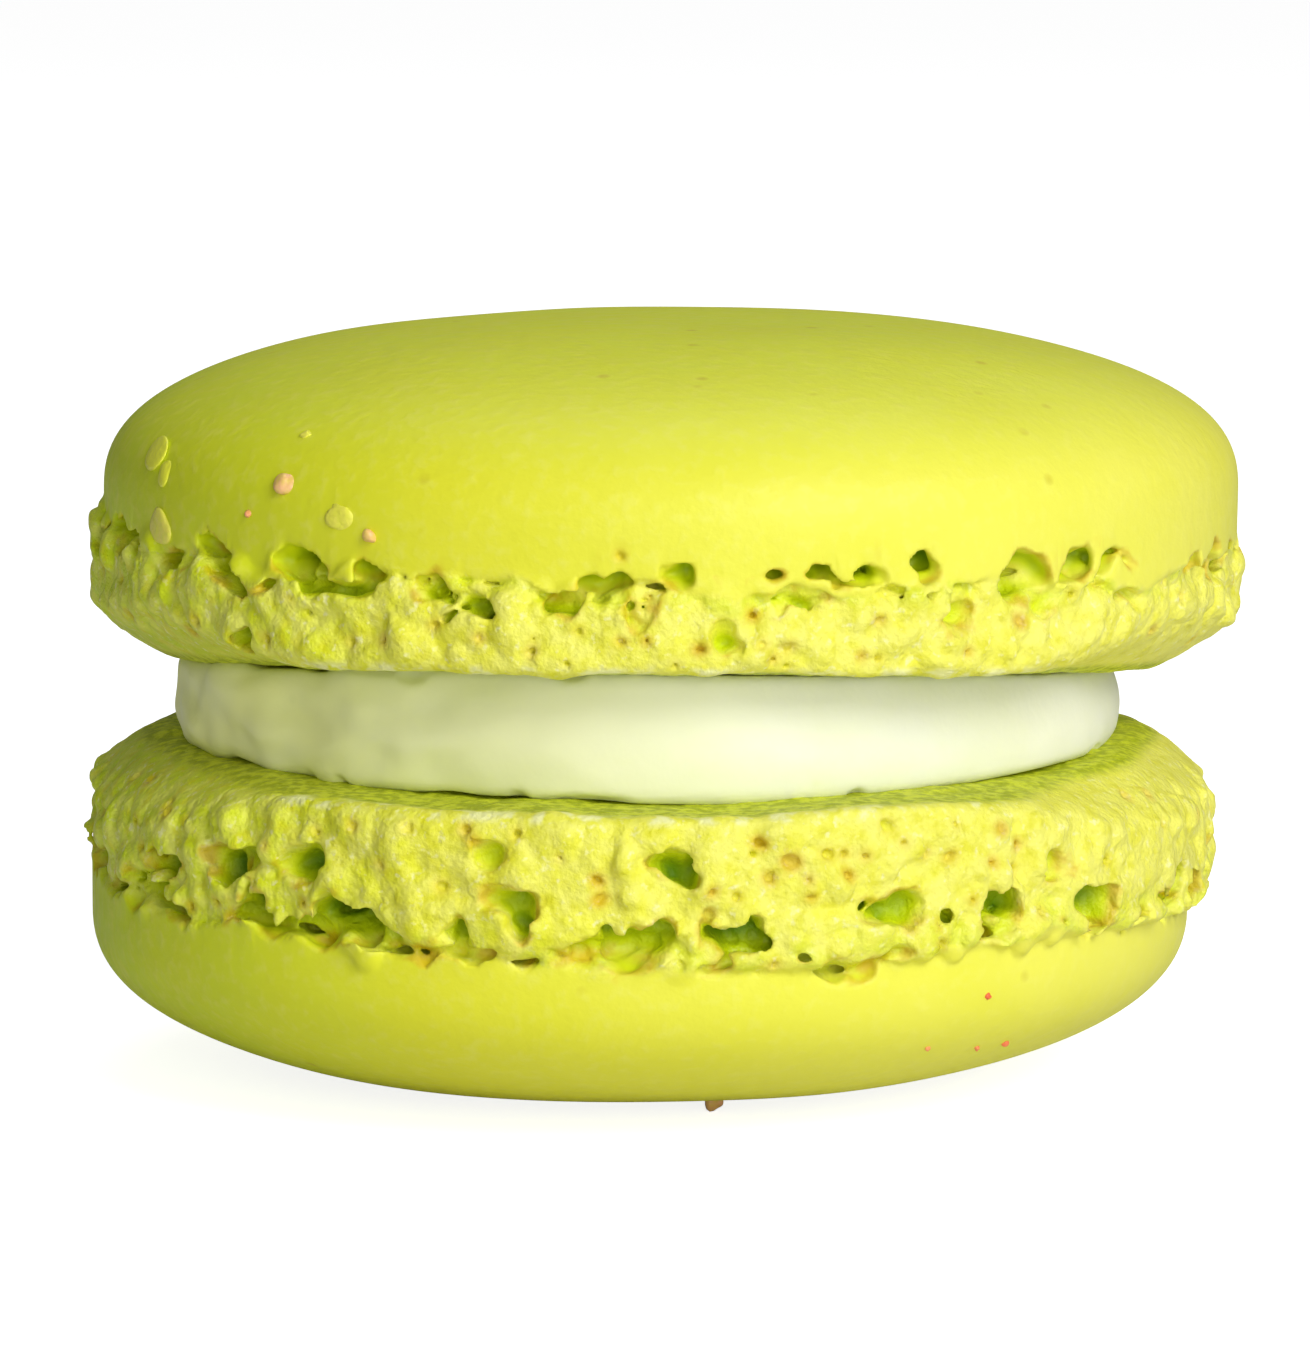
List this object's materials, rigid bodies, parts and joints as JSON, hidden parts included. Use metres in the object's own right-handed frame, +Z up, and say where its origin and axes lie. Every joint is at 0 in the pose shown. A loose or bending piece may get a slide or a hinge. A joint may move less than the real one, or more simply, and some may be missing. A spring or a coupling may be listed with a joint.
{
  "type": "french macaron",
  "caption": "French macaron: domed almond shells with ruffled feet, pressed base to base on a piped disc of pale cream",
  "frame": {"origin": "on the surface that the macaron stands on, under the middle of its outline", "axes": "+Z up from the lower dome to the upper dome; -Y is the front, where the filling is thickest; +X is to the right seen from the front"},
  "size_m": [0.0442, 0.0438, 0.0288],
  "materials": {
    "almond_crust": "satin",
    "piped_cream": "satin"
  },
  "bodies": {
    "root": {"shell_lower": "almond_crust", "filling": "piped_cream", "shell_upper": "almond_crust"}
  },
  "joints": []
}
